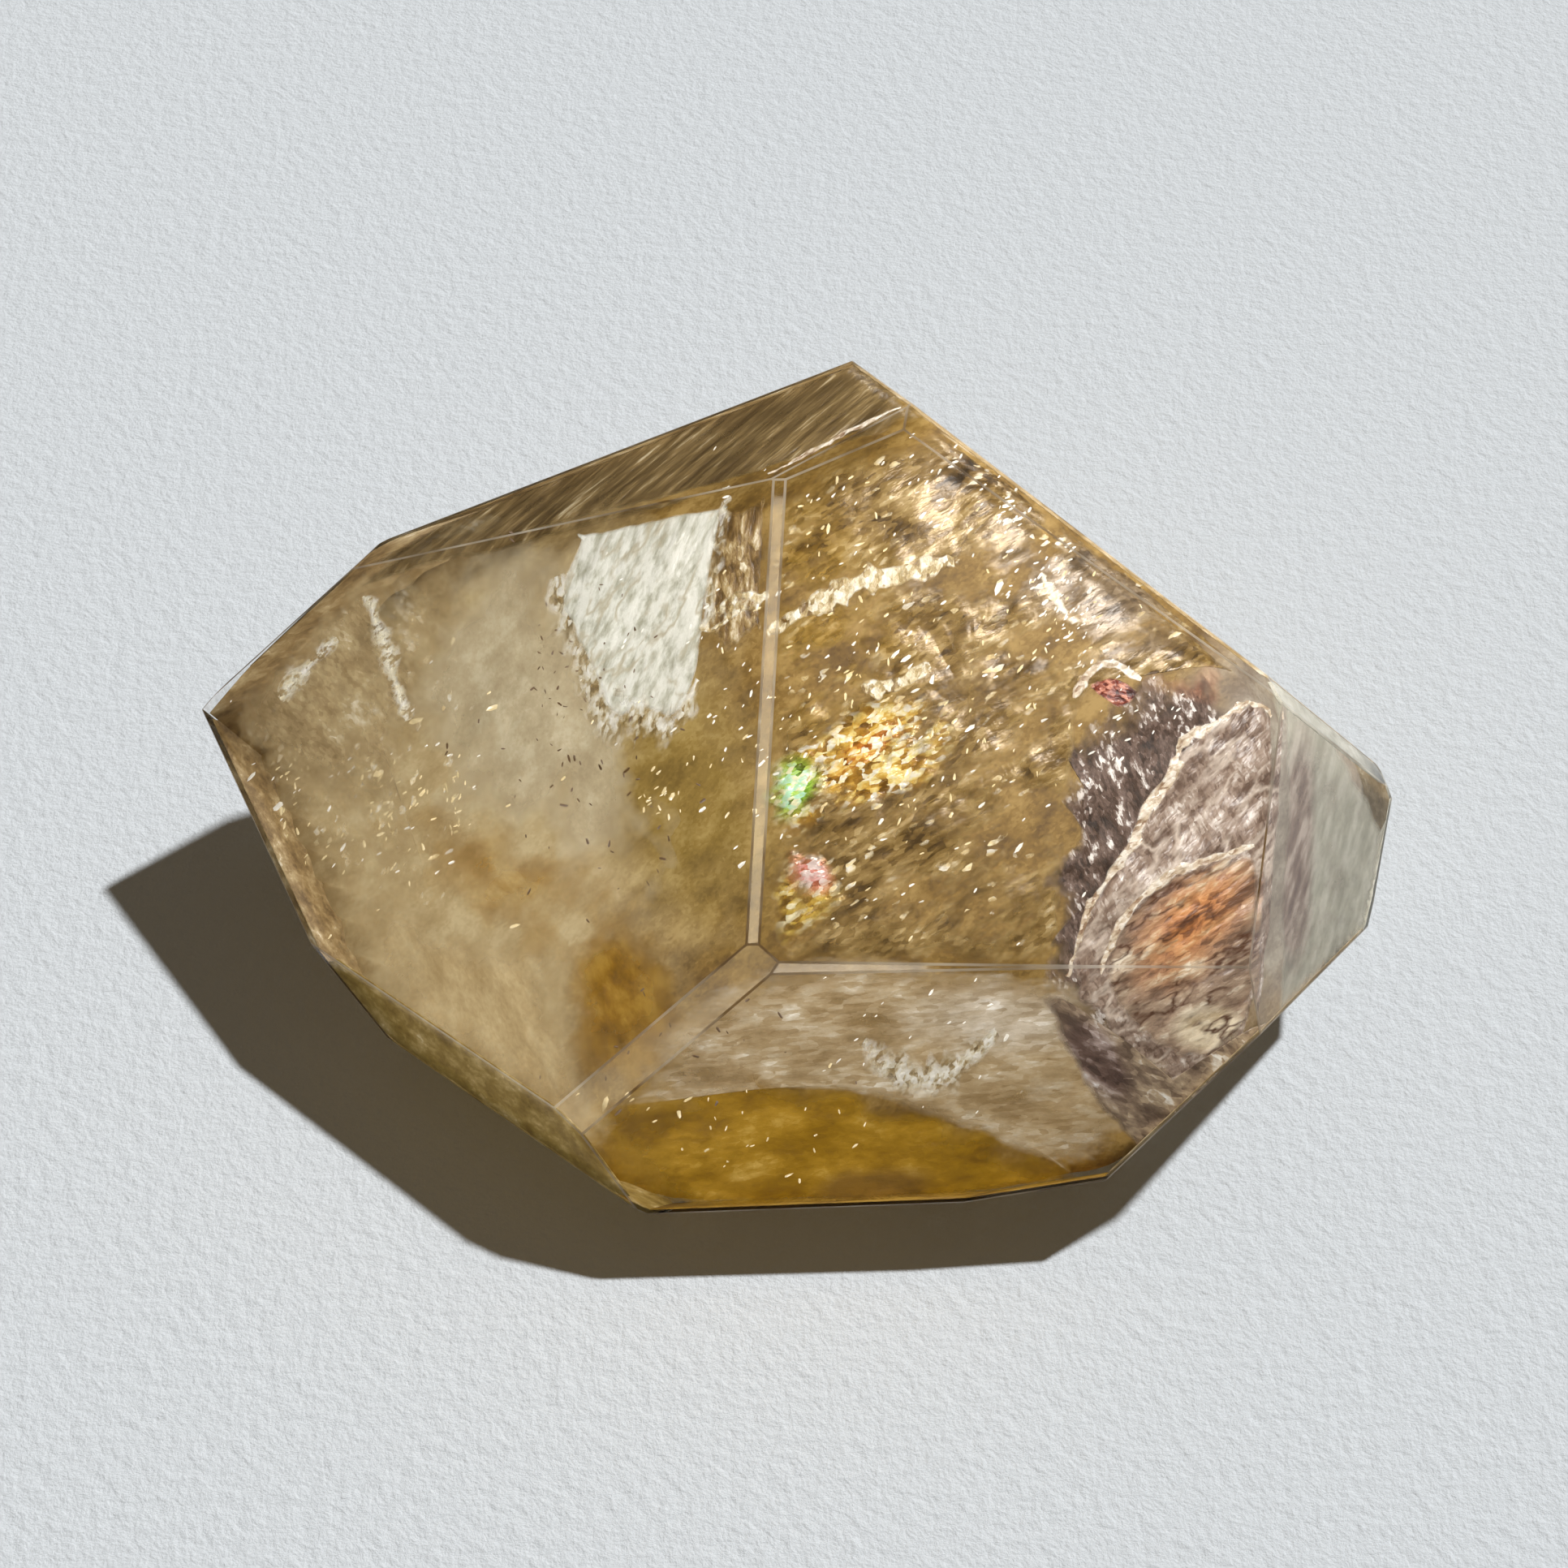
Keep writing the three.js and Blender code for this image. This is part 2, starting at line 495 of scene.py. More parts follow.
# A veil: its point on spoke s and ring r lies r of the way from the middle to the outline, `depth` under
# the crown, leaning, with its relief. A spoke that would leave the crystal is cut twice, because the
# first cut moves its points.
def addVeil(name, look, material):
    spokes = int(curveLength(look["outline"], 400, True) / look["step"])
    loop = curveThrough(look["outline"], spokes, True)
    middle = loop.mean(axis=0)
    out = loop - middle
    rings = int(np.linalg.norm(out, axis=1).mean() / look["step"]) + 2
    turn = np.linspace(0, 2 * math.pi, spokes, endpoint=False)
    tatter = loopNoise(turn, 9, 8, look["seed"]) + 0.4 * loopNoise(turn, 40, 15, look["seed"])
    out = out * (1 + look["ragged"] * tatter)[:, None]
    share = np.ones(spokes)
    ring = np.linspace(0, 1, rings)[:, None]
    for _ in range(2):
        x = middle[0] + out[:, 0] * share * ring
        y = middle[1] + out[:, 1] * share * ring
        fall = look["lean"][0] * (x - middle[0]) + look["lean"][1] * (y - middle[1])
        z = crown(x, y) - look["depth"] - fall + relief(x, y, look["waves"], look["seed"])
        points = np.stack([x, y, z], axis=-1)
        outside = standsOut(points) > -skinRoom
        first = np.where(outside.any(axis=0), outside.argmax(axis=0), rings)
        share = share * np.clip(first / rings, 0.02, 1)
    gridPiece(name, points, np.broadcast_to(ring, x.shape), True, 1, material)


# A band: a strip along a path, `depth` under the crown, with its relief. Its half width goes with
# sin(pi t) ** 0.35 times noise, and its middle sways. Its rim value is 1 along both sides.
def addBand(name, look, material):
    length = curveLength(look["path"], 200, False)
    count = int(length / look["step"]) + 2
    line = curveThrough(look["path"], count, False)
    ahead = np.gradient(line, axis=0)
    side = np.stack([-ahead[:, 1], ahead[:, 0]], axis=-1) / np.linalg.norm(ahead, axis=1)[:, None]
    along = np.linspace(0, 1, count)
    walk = along * length
    half = look["width"] / 2 * np.sin(math.pi * np.clip(along, 0.02, 0.98)) ** 0.35
    half = half * (1 + look["ragged"] * lattice(walk * 2.3, walk * 0 + 4, look["seed"]))
    wander = lattice(walk * 1.1, walk * 0 + 8, look["seed"])
    sway = look["sway"] * (wander + 0.5 * lattice(walk * 3.1, walk * 0 + 12, look["seed"]))
    across = np.linspace(-1, 1, bandPoints)[:, None]
    x = line[:, 0] + side[:, 0] * (half * across + sway)
    y = line[:, 1] + side[:, 1] * (half * across + sway)
    z = crown(x, y) - look["depth"] + relief(x, y, look["waves"], look["seed"])
    points = np.stack([x, y, z], axis=-1)
    gridPiece(name, points, np.abs(across) + 0 * x, False, 0, material)


# Flakes: small flat six-sided double pyramids round spots (x, y, spread in x and in y, count), turned
# near one glint direction so that some of them flash.
def addFlakes(name, look, material):
    rng = np.random.default_rng(look["seed"])
    centres = np.concatenate([
        (x, y) + rng.normal(0, 1, (count, 2)) * (spreadX, spreadY)
        for x, y, spreadX, spreadY, count in look["spots"]])
    count = len(centres)
    z = crown(centres[:, 0], centres[:, 1]) - rng.uniform(*look["depth"], count)
    middle = np.column_stack([centres, z])
    normal = np.array(look["glint"]) + rng.normal(0, look["scatter"], (count, 3))
    normal = normal / np.linalg.norm(normal, axis=1)[:, None]
    size = rng.uniform(*look["size"], count) * (1 + rng.exponential(look["larger"], count))
    turn = rng.uniform(0, math.pi, count) * look["turning"] + math.radians(look["heading"])
    first = np.column_stack([np.cos(turn), np.sin(turn), np.zeros(count)])
    first = first - normal * np.sum(first * normal, axis=1)[:, None]
    second = np.cross(normal, first)
    spin = np.linspace(0, 2 * math.pi, 6, endpoint=False)
    shape = 1 + look["uneven"] * rng.uniform(-1, 1, (count, 6))
    ringX = (np.cos(spin) * shape * look["stretch"])[:, :, None] * first[:, None]
    ringY = (np.sin(spin) * shape)[:, :, None] * second[:, None]
    ring = middle[:, None] + (ringX + ringY) * size[:, None, None] / 2
    ends = np.array([1, -1])[None, :, None] * look["thick"]
    tips = middle[:, None] + normal[:, None] * ends * size[:, None, None]
    points = np.concatenate([ring, tips], axis=1)
    points = points[np.max(standsOut(points), axis=1) < -skinRoom]
    sides = [(k, (k + 1) % 6, 6) for k in range(6)] + [((k + 1) % 6, k, 7) for k in range(6)]
    faces = (np.arange(len(points))[:, None, None] * 8 + np.array(sides)).reshape(-1, 3)
    mesh = bpy.data.meshes.new(name)
    mesh.from_pydata((points.reshape(-1, 3) * mm).tolist(), [], faces.tolist())
    mesh.materials.append(material)
    piece = addPiece(bpy.data.objects.new(name, mesh), "insideCrystal")
    piece.visible_shadow = False


plainFinish = {
    "cells": None,  # lump in mm, stretch, heading, share in the tone
    "patch": (2.0, 1.5, 40, 4.0),  # lump in mm, stretch, heading, detail, roughness if not 0.6; as the grain
    "clear": (0.1, 4),  # patch value under which nothing is covered, and how fast the cover comes
    "cover": 1.0,
    "fade": 0.15,  # share of the way in from the rim over which it fades; None covers everything
    "torn": (0.35, 2),  # middle patch value at the rim, and how much the patch noise tears it
    "full": [],  # spots of full cover: x, y, radii, heading, soft edge
    "glints": None,  # painted glints: cells of which only those show whose tone is above the last value
    "glintSharp": 30,
    "spots": [],  # other tones: x, y, radii, heading, soft edge, tones
    "curls": [],  # thin lines on top: lump in mm, stretch, heading, sharpness, colour
    "curlPatch": (0.42, 8),  # patch value under which there are none, and how fast they come
    "bump": 0.7,
    "bumpHeight": 0.2,  # mm
    "rough": 0.35,
    "metal": 0.0,
}


# Colour of a veil: its grain picks a tone, in spots another, and curls lie on top in patches.
def veilColour(paint, look, grain, patch):
    colour = grain.ramp(look["tones"])
    for *place, tones in look["spots"]:
        colour = paint.mix(paint.spot(*place), colour, grain.ramp(tones))
    for *lines, curlTone in look["curls"]:
        colour = paint.mix(paint.curls(*lines) * patch.above(*look["curlPatch"]), colour, tone(curlTone))
    return colour


# Cover of a veil: patches and full spots, of which only the painted glints where it has them, fading
# towards a torn rim by (1 - rim) / fade - (patch - middle) tear.
def veilCover(paint, look, patch):
    cover = patch.above(*look["clear"]) * look["cover"]
    for place in look["full"]:
        cover = (cover + paint.spot(*place)).clipped()
    if look["glints"]:
        *shape, least = look["glints"]
        cover = cover * paint.cells(*shape).above(least, look["glintSharp"])
    rim = paint.node("ShaderNodeAttribute", {"attribute_name": "rim"}, {}, 2)
    middle, tear = look["torn"]
    return cover * ((1 - rim) / look["fade"] - (patch - middle) * tear).clipped()


# The finish of a sheet: cloudy grain with foil cells in it makes both its tones and its fine bumps.
def veilPaint(name, look):
    look = {**plainFinish, **look}
    paint = Paint(name)
    grain = paint.cloud(*look["grain"])
    if look["cells"]:
        *foil, share = look["cells"]
        grain = grain + (paint.cells(*foil) - 0.5) * share
    patch = paint.cloud(*look["patch"])
    finish = {
        "Base Color": veilColour(paint, look, grain, patch), "Metallic": look["metal"],
        "Roughness": look["rough"]}
    if look["fade"] is not None:
        finish["Alpha"] = veilCover(paint, look, patch)
    if look["bump"]:
        finish["Normal"] = paint.node("ShaderNodeBump", {}, {
            "Height": grain, "Strength": look["bump"], "Distance": look["bumpHeight"] * mm})
    return paint.finish(finish)


# The milky cloud fills the crystal up to a skin of clear quartz. That is deeper under the crown, where
# normals rise above `crownFrom`, and at the end, where they point along x above `endFrom`.
cloudLook = {
    "middle": (0.5, 0, 9.5), "crownDepth": 2.8, "wallDepth": 0.4, "endDepth": 2.2, "crownFrom": 0.62,
    "endFrom": 0.7, "blend": 0.2, "directions": (280, 140), "seed": 11,
    "waves": [(6, 0.3, 1.3, 30), (1.6, 0.12, 1.8, 50)], "grain": (1.6, 1.8, 35, 6, 0.62),
    "cells": (0.14, 1.6, 35, 0.14), "patch": (5, 1.5, 60, 3, 0.5), "fade": None, "bump": 0, "rough": 0.6,
    "tones": [(0.33, 100, 74, 28), (0.5, 138, 108, 48), (0.66, 172, 142, 80)],
    "spots": [
        (-16, -2, 15, 18, 0, 0.5, [(0.3, 180, 158, 114), (0.5, 198, 178, 134), (0.68, 216, 200, 158)]),
        (-5, -2, 4.5, 9, 20, 0.6, [(0.3, 120, 96, 34), (0.5, 148, 122, 54), (0.68, 176, 152, 88)]),
        (-2, -21, 22, 6, 0, 0.3, [(0.3, 122, 90, 0), (0.5, 152, 116, 4), (0.68, 180, 142, 40)]),
        (-8, 19, 22, 7, 25, 0.4, [(0.3, 66, 50, 26), (0.5, 116, 94, 56), (0.68, 160, 138, 96)]),
        (26, -4, 9, 13, 0, 0.4, [(0.3, 142, 130, 118), (0.5, 174, 164, 150), (0.68, 204, 198, 184)])],
}


# Its point in a direction lies where the nearest facet plane, brought in by its depth, is met, at room /
# (direction . normal) from the middle, give or take its relief.
def addCloud(look, material):
    around, up = look["directions"]
    heading, rise = np.meshgrid(
        np.linspace(0, 2 * math.pi, around, endpoint=False), np.linspace(-math.pi / 2, math.pi / 2, up))
    way = np.stack([np.cos(rise) * np.cos(heading), np.cos(rise) * np.sin(heading), np.sin(rise)], axis=-1)
    middle = np.array(look["middle"])
    depth = np.where(facets[:, 2] > look["crownFrom"], look["crownDepth"], look["wallDepth"])
    depth = np.where(facets[:, 0] > look["endFrom"], look["endDepth"], depth)
    room = facets[:, 3] - depth - facets[:, :3] @ middle
    toward = np.maximum(way @ facets[:, :3].T, 0.02)
    reach = softLowest(np.moveaxis(room / toward, -1, 0), look["blend"])
    x, y, z = np.moveaxis(middle + way * reach[..., None], -1, 0)
    wave = relief(x + 0.6 * z, y - 0.7 * z, look["waves"], look["seed"])
    points = middle + way * (reach + np.minimum(wave, skinRoom))[..., None]
    gridPiece("milkyCloud", points, 0 * wave, True, 2, material, 0)


addCloud(cloudLook, veilPaint("milkyCloud", cloudLook))
print("milky cloud placed")


# A lining: the haze just under the facet that looks along (sin t cos h, sin t sin h, cos t), a flat sheet
# that ends just short of the facets round it.
def addLining(name, look, material):
    h = math.radians(look["heading"])
    t = math.radians(look["tilt"])
    facing = (math.sin(t) * math.cos(h), math.sin(t) * math.sin(h), math.cos(t))
    own = np.argmax(facets[:, :3] @ facing)
    normal = facets[own, :3]
    centre = np.array(crystal.data.polygons[own].center) / mm - look["inset"] * normal
    along = np.cross((0, 0, 1), normal)
    along = along / np.linalg.norm(along)
    turn = np.linspace(0, 2 * math.pi, look["spokes"], endpoint=False)[:, None]
    way = np.cos(turn) * along + np.sin(turn) * np.cross(normal, along)
    others = np.delete(facets, own, axis=0)
    room = others[:, 3] - look["inset"] - others[:, :3] @ centre
    reach = np.min(room / np.maximum(way @ others[:, :3].T, 0.01), axis=1)
    ring = np.linspace(0, 1, look["rings"])[:, None, None]
    points = centre + ring * reach[:, None] * way
    gridPiece(name, points, 0 * points[..., 0], True, 1, material)


plainLining = {
    "inset": 0.22, "spokes": 120, "rings": 3, "grain": (1.3, 1.8, 30, 6, 0.64), "cells": (0.24, 3, 30, 0.14),
    "fade": None, "bump": 0, "rough": 0.6,
}
bronzeTones = [(0.32, 106, 82, 44), (0.5, 152, 126, 80), (0.64, 190, 168, 124), (0.72, 230, 218, 190)]
beigeTones = [(0.32, 136, 110, 62), (0.5, 172, 148, 104), (0.64, 206, 186, 148), (0.72, 238, 228, 204)]
paleTones = [(0.34, 162, 158, 140), (0.5, 188, 186, 170), (0.66, 212, 210, 198), (0.74, 238, 236, 228)]
oliveTones = [(0.32, 124, 98, 34), (0.5, 160, 134, 66), (0.64, 196, 172, 112), (0.72, 232, 218, 176)]
honeyTones = [(0.34, 118, 86, 2), (0.5, 146, 110, 10), (0.66, 178, 142, 50)]
linings = {  # heading and tilt of the facet in degrees, and tones
    "backLeftLining": (143, 56.5, bronzeTones),
    "backRightLining": (44, 57.5, beigeTones),
    "endBevelLining": (15, 52, paleTones),
    "endCornerLining": (13.5, 72, paleTones),
    "endWallLining": (-10.5, 99.5, paleTones),
    "frontRightLining": (-44.5, 107, beigeTones),
    "leftSideLining": (-127.5, 80.5, oliveTones),
    "leftUnderLining": (-162, 127.5, bronzeTones),
    "backLeftUnderLining": (114.5, 118, bronzeTones),
    "backWallLining": (107, 85, bronzeTones),
    "backUnderLining": (100, 124, oliveTones),
    "backRightUnderLining": (56, 112, beigeTones),
    "endUnderLining": (-8, 124, paleTones),
    "frontLeftUnderLining": (-126, 130.5, oliveTones),
    "frontUnderLining": (-87.5, 128, honeyTones),
    "frontRightUnderLining": (-79, 125, honeyTones),
}
for name, (heading, tilt, tones) in linings.items():
    lining = {**plainLining, "heading": heading, "tilt": tilt, "tones": tones}
    addLining(name, lining, veilPaint(name, lining))
print("linings placed:", len(linings))

# An outline point given twice makes a corner. A wave is the size of its lumps and its height in mm, how
# far it is drawn out, its heading, and True if it creases.
plainVeil = {"lean": (0, 0), "step": 0.24, "ragged": 0.04, "waves": [(2, 0.15, 1.5, 30)]}
crinkled = [(1.6, 0.2, 1.2, 40), (0.5, 0.08, 2, 60, True)]
veils = {
    "leftGold": {
        "outline": [
            (-32, 6), (-28, 13), (-20, 18), (-12, 17), (-14, 9), (-18, -2), (-17, -8), (-22, -9), (-28, -3)],
        "depth": 0.5, "waves": [(2, 0.05, 1.5, 30)], "seed": 15, "grain": (2.2, 1.6, -50, 6),
        "cells": (0.16, 2, -50, 0.16), "patch": (2.5, 1.4, -50, 4), "clear": (0.42, 2.5), "fade": 0.45,
        "bump": 0.4,
        "tones": [(0.36, 148, 126, 86), (0.48, 174, 152, 111), (0.6, 199, 180, 137), (0.74, 254, 246, 222)],
        "full": [(-28, 7, 10, 9, 0, 0.6), (-16, 15, 5, 4, 0, 0.3)],
    },
    "beigeMist": {
        "outline": [
            (-24, -3), (-18, -6), (-12, -8), (-9.5, -9), (-9.5, -13), (-8, -19), (-14, -17), (-22, -9)],
        "depth": 1.4, "seed": 18, "step": 0.3, "grain": (1.2, 3, -70, 6, 0.65), "cells": (0.12, 2, -70, 0.12),
        "fade": 0.5, "cover": 0.8, "bump": 0, "rough": 0.6,
        "tones": [(0.32, 175, 151, 104), (0.5, 198, 176, 130), (0.68, 218, 200, 156)],
    },
    # Milky haze under the left flat, partly the quartz's own and partly a painted reflection of the sky.
    "leftHazeAndSheen": {
        "outline": [
            (-18, 13), (-9.5, 11), (-8.6, 3), (-5.5, -3.5), (-6.5, -8), (-12.5, -6), (-19, 1), (-20.5, 8)],
        "depth": 1.5, "seed": 21, "step": 0.3, "ragged": 0.08, "grain": (1.2, 1.5, 70, 6, 0.64),
        "cells": (0.12, 1.3, 70, 0.12), "patch": (3, 1.5, 60, 2, 0.5), "clear": (0, 2), "fade": 0.6,
        "bump": 0, "rough": 0.6, "cover": 0.9,
        "tones": [(0.32, 178, 163, 132), (0.5, 196, 183, 151), (0.66, 214, 204, 175)],
    },
    "goldDrift": {
        "outline": [
            (-20, 0), (-15.5, -0.5), (-11, -3.5), (-7.5, -6), (-6.5, -9.5), (-11, -10.5), (-16, -8),
            (-20, -5)],
        "depth": 1.3, "seed": 24, "step": 0.25, "grain": (1.2, 2, -40, 6), "fade": 1, "cover": 0.75,
        "bump": 0, "tones": [(0.34, 148, 112, 46), (0.5, 174, 138, 70), (0.66, 206, 178, 116)],
    },
    # Its whitest tone paints small glints among the veil's own gold and cream.
    "goldVeil": {
        "outline": [
            (-0.8, 9.8), (5, 13.2), (12, 12), (18, 7.6), (23, 3.5), (16, 2.5), (13.5, 0), (12.5, -8),
            (11.5, -11), (5, -10.8), (-1, -10.6), (-1.5, -5), (-1.2, 2)],
        "depth": 2, "waves": [(2.5, 0.2, 1.5, 25), (0.6, 0.08, 2, 35, True)], "seed": 31,
        "grain": (1, 3, 34, 5, 0.62), "cells": (0.2, 3.2, 34, 0.3), "patch": (3, 1.8, 28, 4),
        "clear": (0.42, 6), "fade": 0.08, "bump": 0.6, "rough": 0.3, "metal": 0.1,
        "tones": [
            (0.3, 78, 58, 26), (0.44, 124, 98, 50), (0.58, 158, 132, 80), (0.7, 190, 166, 116),
            (0.8, 252, 242, 212)],
        "spots": [
            (1.5, 4, 4.5, 8, 15, 0.7,
             [(0.3, 100, 72, 14), (0.44, 144, 112, 38), (0.58, 174, 142, 70), (0.7, 202, 176, 118),
              (0.8, 255, 244, 206)]),
            (14.5, 6, 6, 3.2, -25, 0.7,
             [(0.32, 82, 68, 50), (0.48, 120, 102, 78), (0.62, 150, 132, 106), (0.78, 176, 160, 134),
              (0.87, 255, 252, 244)]),
            (8.5, 11.3, 3, 1.3, -15, 0.5,
             [(0.3, 44, 32, 16), (0.5, 92, 70, 36), (0.62, 150, 124, 80), (0.72, 250, 240, 215)])],
    },
    # Sparse veils of painted glints: bright cells that stand in for sparkles of light.
    "glintVeil": {
        "outline": [
            (-0.6, 9.4), (5, 12.8), (12, 11.4), (18, 7.4), (20, 4), (14, 2.5), (12.5, 0), (11.8, -8),
            (11, -10.6), (5, -10.4), (-0.8, -10.2), (-1.2, -5), (-1, 2)],
        "depth": 1.3, "waves": [(0.8, 0.1, 1.5, 30, True)], "seed": 35, "grain": (0.5, 2, 34, 3),
        "glints": (0.2, 2.6, 34, 0.84), "patch": (1.3, 1.6, 30, 4), "clear": (0.46, 6), "fade": 0.1,
        "bump": 0.5, "tones": [(0.3, 206, 178, 116), (0.5, 246, 228, 180), (0.66, 255, 255, 246)],
    },
    "tipGlints": {
        "outline": [(-28, 5), (-25, 9), (-19, 10), (-15, 6), (-14, -2), (-16, -8), (-21, -7), (-26, -1)],
        "depth": 0.9, "waves": [(0.8, 0.1, 1.5, 30, True)], "seed": 37, "grain": (0.5, 2, 60, 3),
        "glints": (0.2, 2.2, 60, 0.8), "patch": (1.3, 1.6, 60, 4), "clear": (0.48, 6), "fade": 0.3,
        "bump": 0.5, "tones": [(0.3, 214, 190, 136), (0.5, 246, 230, 190), (0.66, 255, 255, 246)],
    },
    # A healed fracture; its silver-white is a painted reflection of the sun in it.
    "silverReflectionVeil": {
        "outline": [
            (-10.2, 9.8), (-10.2, 9.8), (-6.5, 10.2), (-3, 10.5), (-3, 10.5), (-3.5, 8.6), (-3.9, 6),
            (-4.6, 2), (-5.6, 0.4), (-7.2, 1), (-8.6, 0.8), (-9.6, 3), (-10.8, 5.4), (-11.2, 7.4)],
        "depth": 1.5, "lean": (0.16, 0.06), "waves": [(2.2, 0.12, 1.5, 60), (0.6, 0.05, 3, 60, True)],
        "seed": 41, "step": 0.1, "ragged": 0.02, "grain": (0.5, 5, 66, 4), "cells": (0.16, 9, 66, 0.08),
        "fade": 0.06, "bump": 0.4,
        "tones": [(0.32, 168, 168, 150), (0.44, 204, 206, 194), (0.56, 230, 232, 224)],
        "curls": [(1.3, 5, 58, 22, (186, 180, 158))],
    },
    "brownStreaks": {
        "outline": [
            (-3.4, 9.6), (-3.4, 9.6), (-1.2, 10), (-1.2, 10), (-1.4, 4), (-1.4, 4), (-2.8, 3), (-3.9, 4.4)],
        "depth": 1.7, "seed": 45, "step": 0.12, "grain": (0.5, 6, 84, 5), "cells": (0.25, 6, 84, 0.2),
        "tones": [(0.34, 84, 62, 28), (0.48, 128, 100, 54), (0.6, 176, 152, 104), (0.72, 244, 236, 212)],
    },
    "honeyPatch": {
        "outline": [
            (-11, -8), (-9.2, -7), (-7, -8), (-4.6, -10.4), (-5, -14), (-8.2, -16), (-10.8, -14.6),
            (-11.2, -11)],
        "depth": 1.2, "seed": 51, "grain": (1.2, 1.6, -70, 4), "cells": (0.3, 3, -70, 0.08), "fade": 0.6,
        "clear": (0.1, 2.5), "bump": 0,
        "tones": [(0.34, 114, 80, 0), (0.5, 146, 106, 8), (0.66, 174, 136, 46)],
    },
    "rainbowFracture": {
        "outline": [
            (-1.5, -5), (-1.5, -2.2), (0.3, -1.2), (2.4, 0), (4.7, 1.2), (8, 0), (7, -3), (3.8, -4.2),
            (1.5, -4.8), (0.2, -5.6)],
        "depth": 1.6, "seed": 55, "step": 0.12, "waves": crinkled, "grain": (0.5, 1.8, 25, 3),
        "cells": (0.22, 2.2, 25, 0.9), "clear": (0.36, 6), "fade": 0.3, "rough": 0.25, "metal": 0.1,
        "tones": [
            (0.1, 110, 76, 20), (0.35, 176, 130, 44), (0.5, 224, 184, 84), (0.64, 250, 232, 156),
            (0.8, 255, 252, 236)],
        "spots": [
            (3.4, -1.6, 2.6, 0.7, 30, 0.7,
             [(0.15, 130, 66, 16), (0.36, 216, 132, 52), (0.52, 246, 206, 104), (0.7, 255, 250, 224)]),
            (-0.4, -3.3, 2, 1.6, 20, 0.5,
             [(0.12, 84, 104, 30), (0.3, 132, 184, 60), (0.44, 196, 236, 110), (0.56, 190, 246, 220),
              (0.7, 252, 252, 210)])],
    },
    "pinkFracture": {
        "outline": [(-1.4, -7), (-0.6, -5.6), (0.7, -5.6), (2.2, -6.6), (2.6, -8.5), (0.8, -10), (-1, -10.4)],
        "depth": 1.6, "seed": 58, "step": 0.12, "waves": crinkled, "grain": (0.5, 1.8, 25, 3),
        "cells": (0.22, 2.2, 25, 1), "clear": (0.44, 6), "fade": 0.4, "rough": 0.2, "metal": 0.2,
        "tones": [(0.1, 110, 80, 24), (0.35, 180, 140, 50), (0.55, 226, 196, 90), (0.8, 255, 248, 210)],
        "spots": [
            (0.8, -7, 1.5, 1.1, -30, 0.6,
             [(0.12, 164, 92, 64), (0.34, 226, 136, 112), (0.5, 248, 176, 172), (0.7, 255, 236, 232)])],
    },
    "frontMist": {
        "outline": [
            (-7, -12.5), (-1, -10.4), (6, -10.4), (12.5, -10.8), (17, -13.5), (20.5, -17), (18, -20),
            (13, -18), (8, -16.6), (2, -15.4), (-4, -15.2), (-9, -15.6)],
        "depth": 1.5, "seed": 65, "grain": (1.6, 2, 5, 6, 0.62), "patch": (1.6, 2.5, 5, 5, 0.65),
        "clear": (0.12, 2.5), "fade": 0.25, "cover": 0.9, "bump": 0.4,
        "tones": [(0.34, 156, 132, 92), (0.48, 182, 160, 122), (0.6, 204, 188, 158), (0.74, 250, 246, 232)],
        "cells": (0.18, 4, 5, 0.22),
        "spots": [
            (10, -12.6, 6, 1.6, 0, 0.6,
             [(0.34, 160, 142, 114), (0.48, 190, 176, 152), (0.62, 216, 206, 188), (0.74, 252, 250, 244)])],
    },
    "honeyVeil": {
        "outline": [
            (-13, -16.5), (-6.8, -14.6), (-3, -14.6), (3, -15), (8.4, -16), (13.4, -17.6), (16, -19),
            (14, -21), (8, -23), (-6.8, -23), (-13, -20)],
        "depth": 1.6, "waves": [(2, 0.15, 2, 0)], "seed": 61, "grain": (1.6, 2.2, 8, 6),
        "cells": (0.25, 2, 10, 0.08), "fade": 0.3, "bump": 0.4,
        "tones": [
            (0.32, 122, 88, 0), (0.48, 156, 118, 0), (0.6, 180, 140, 30), (0.7, 214, 178, 84),
            (0.78, 252, 230, 150)],
        # A darker spot low along the front: painted shade near the bottom edge.
        "spots": [(3.6, -18.6, 3.2, 0.9, 5, 0.4, [(0.3, 84, 60, 8), (0.6, 136, 102, 30)])],
    },
    "darkFace": {
        "outline": [
            (12.2, -0.6), (13.4, 0.2), (15.8, 1.7), (19.3, 2.8), (22.3, 1.1), (21, -5), (20, -11),
            (19.4, -14.9), (17.5, -16), (15.2, -15.2), (12.5, -13.2), (11.2, -10.9), (12.3, -9), (11.5, -7),
            (13.2, -5), (12.2, -3.2), (13.4, -1.8)],
        "depth": 1.9, "waves": crinkled, "seed": 71, "step": 0.16, "ragged": 0.06,
        "grain": (1, 2, -72, 6, 0.68), "cells": (0.15, 3.5, -72, 0.24), "patch": (1.4, 1.5, 60, 4),
        "fade": 0.25, "bump": 0.8, "rough": 0.6,
        "tones": [(0.32, 44, 30, 22), (0.46, 80, 60, 48), (0.58, 122, 102, 92), (0.66, 246, 242, 238)],
        "spots": [
            (19.5, 1.8, 3.4, 1.2, -5, 0.5, [(0.34, 84, 48, 32), (0.5, 140, 92, 64), (0.64, 196, 160, 130)])],
    },
    "greyFace": {
        "outline": [
            (12.9, -11.2), (13.6, -9), (14.9, -7), (17.6, -2.9), (18.3, -1.6), (20, -0.3), (21.5, 0.6),
            (22.6, 0.2), (22.3, -5.2), (21.5, -11.2), (20.5, -14.2), (18.5, -15.2), (16, -14.2),
            (13.8, -12.6)],
        "depth": 1.5, "waves": crinkled, "seed": 81, "step": 0.16, "ragged": 0.03,
